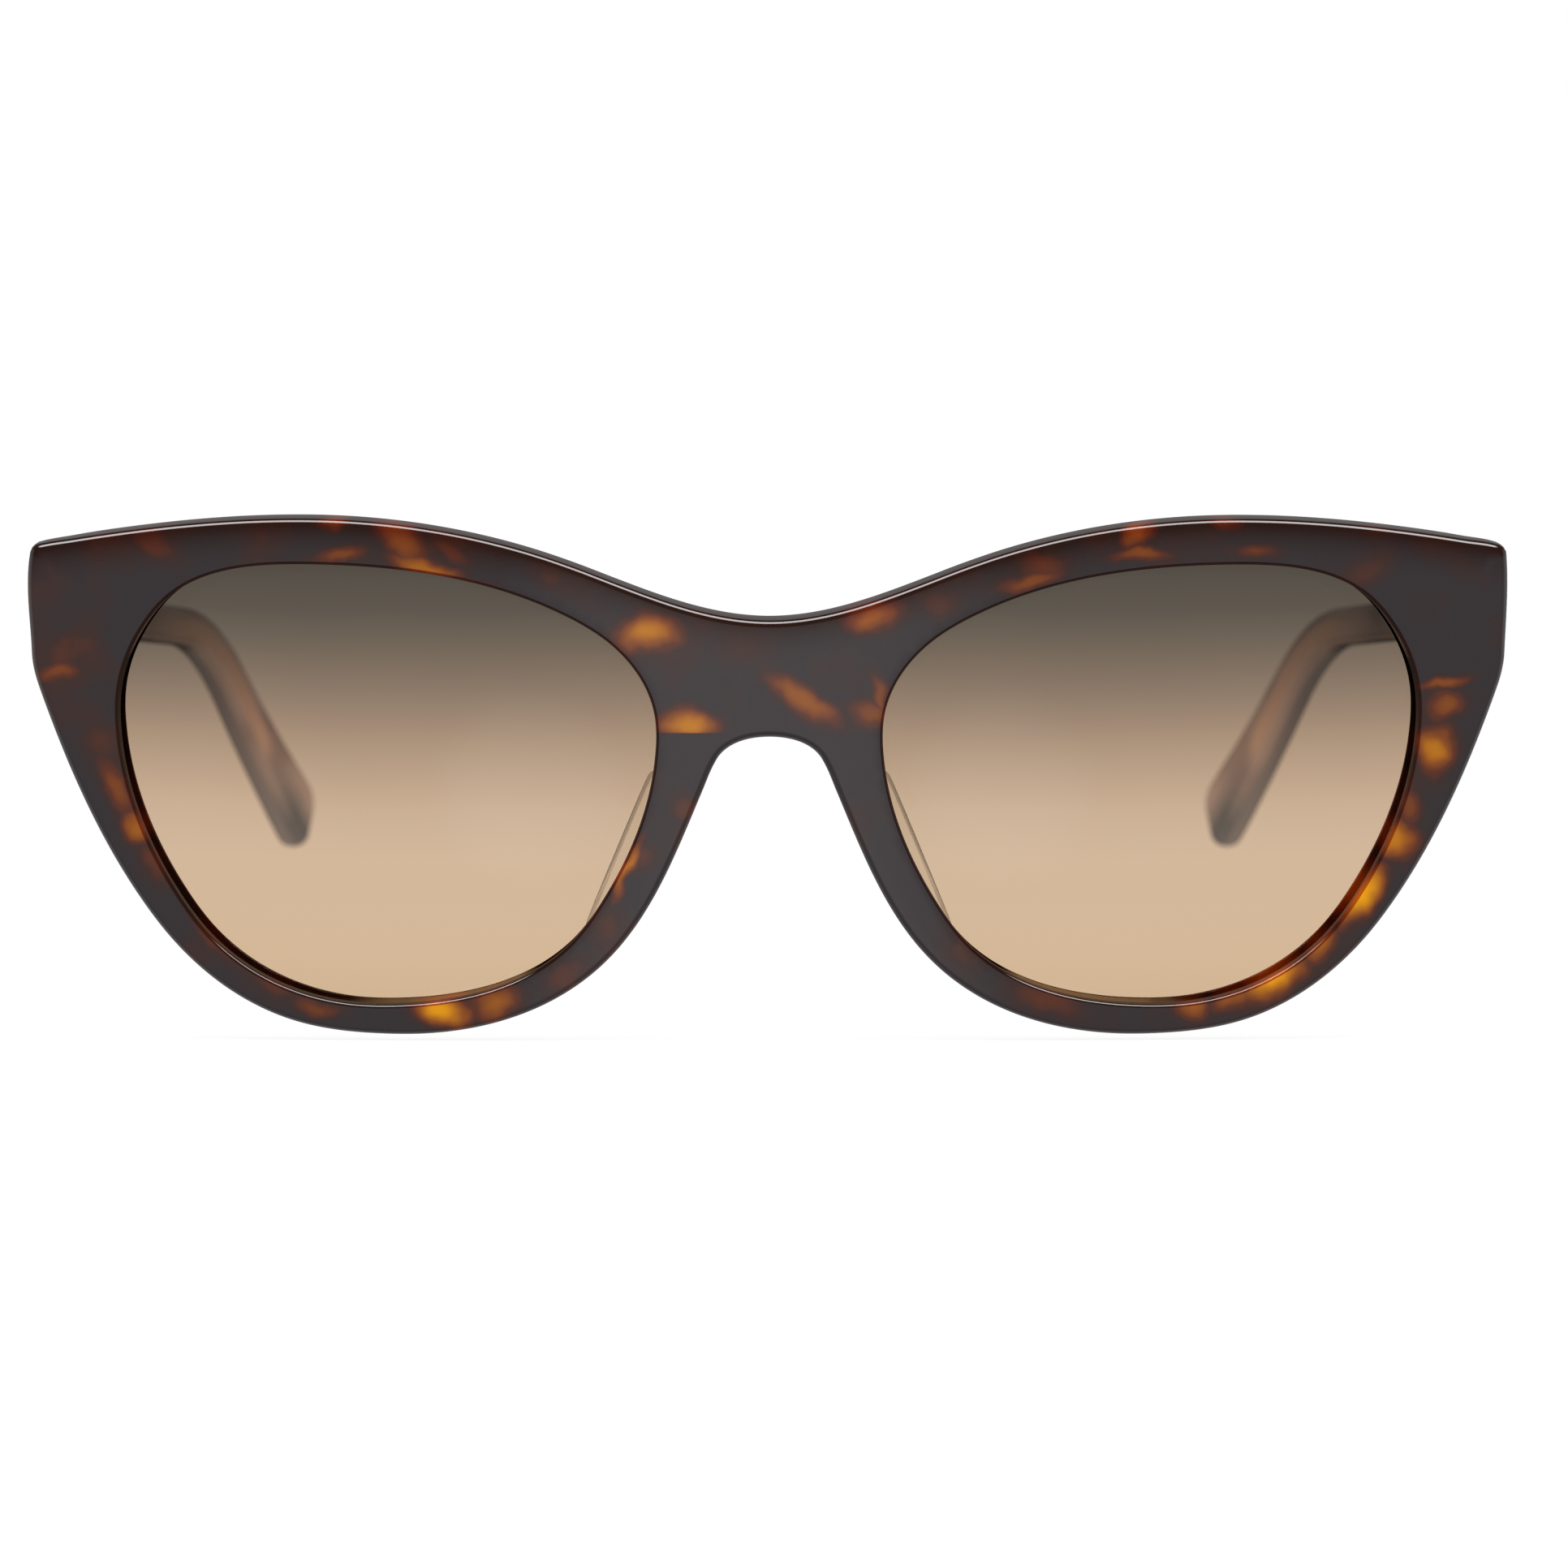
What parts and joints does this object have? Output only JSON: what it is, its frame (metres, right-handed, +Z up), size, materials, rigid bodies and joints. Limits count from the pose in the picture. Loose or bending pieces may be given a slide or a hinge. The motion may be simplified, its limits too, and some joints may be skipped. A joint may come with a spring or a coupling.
{
  "type": "cat eye sunglasses",
  "caption": "Cat eye sunglasses with a tortoise acetate front and temples, brown gradient lenses, clear nose pads and folding hinged temples.",
  "frame": {"origin": "on the front face of the frame, in the middle of the bridge, at the height of the lenses' datum line", "axes": "+X towards the wearer's left, +Y back along the open temples, +Z up"},
  "size_m": [0.1432, 0.1502, 0.0505],
  "materials": {
    "tortoise_acetate": "polished dark brown tortoise acetate with amber flecks",
    "crystal_acetate": "polished clear acetate",
    "lens_tint": "polished, brown gradient tint, dark above and light below",
    "polarising_film": "clear grey-brown film",
    "hinge_metal": "satin nickel silver",
    "screw_steel": "bright stainless steel",
    "wire_steel": "drawn nickel silver wire"
  },
  "bodies": {
    "front": {"front_frame": "tortoise_acetate", "nose_pad_left": "crystal_acetate", "nose_pad_right": "crystal_acetate", "lens_front_wafer_left": "lens_tint", "lens_front_wafer_right": "lens_tint", "polarising_film_left": "polarising_film", "polarising_film_right": "polarising_film", "lens_rear_wafer_left": "lens_tint", "lens_rear_wafer_right": "lens_tint", "front_hinge_left": "hinge_metal", "front_hinge_right": "hinge_metal", "hinge_screw_left": "screw_steel", "hinge_screw_right": "screw_steel"},
    "temple_left": {"temple_left": "tortoise_acetate", "temple_hinge_left": "hinge_metal", "temple_hinge_rivets_left": "screw_steel", "core_wire_left": "wire_steel"},
    "temple_right": {"temple_right": "tortoise_acetate", "temple_hinge_right": "hinge_metal", "temple_hinge_rivets_right": "screw_steel", "core_wire_right": "wire_steel"}
  },
  "joints": [
    {"name": "temple_left_fold", "type": "hinge", "parent": "front", "child": "temple_left", "pos_m": [0.0646, 0.00961, 0.01792], "axis": [0, -0.1564, 0.9877], "range_deg": [0, 86]},
    {"name": "temple_right_fold", "type": "hinge", "parent": "front", "child": "temple_right", "pos_m": [-0.0646, 0.00961, 0.01792], "axis": [0, 0.1564, -0.9877], "range_deg": [0, 78]}
  ]
}
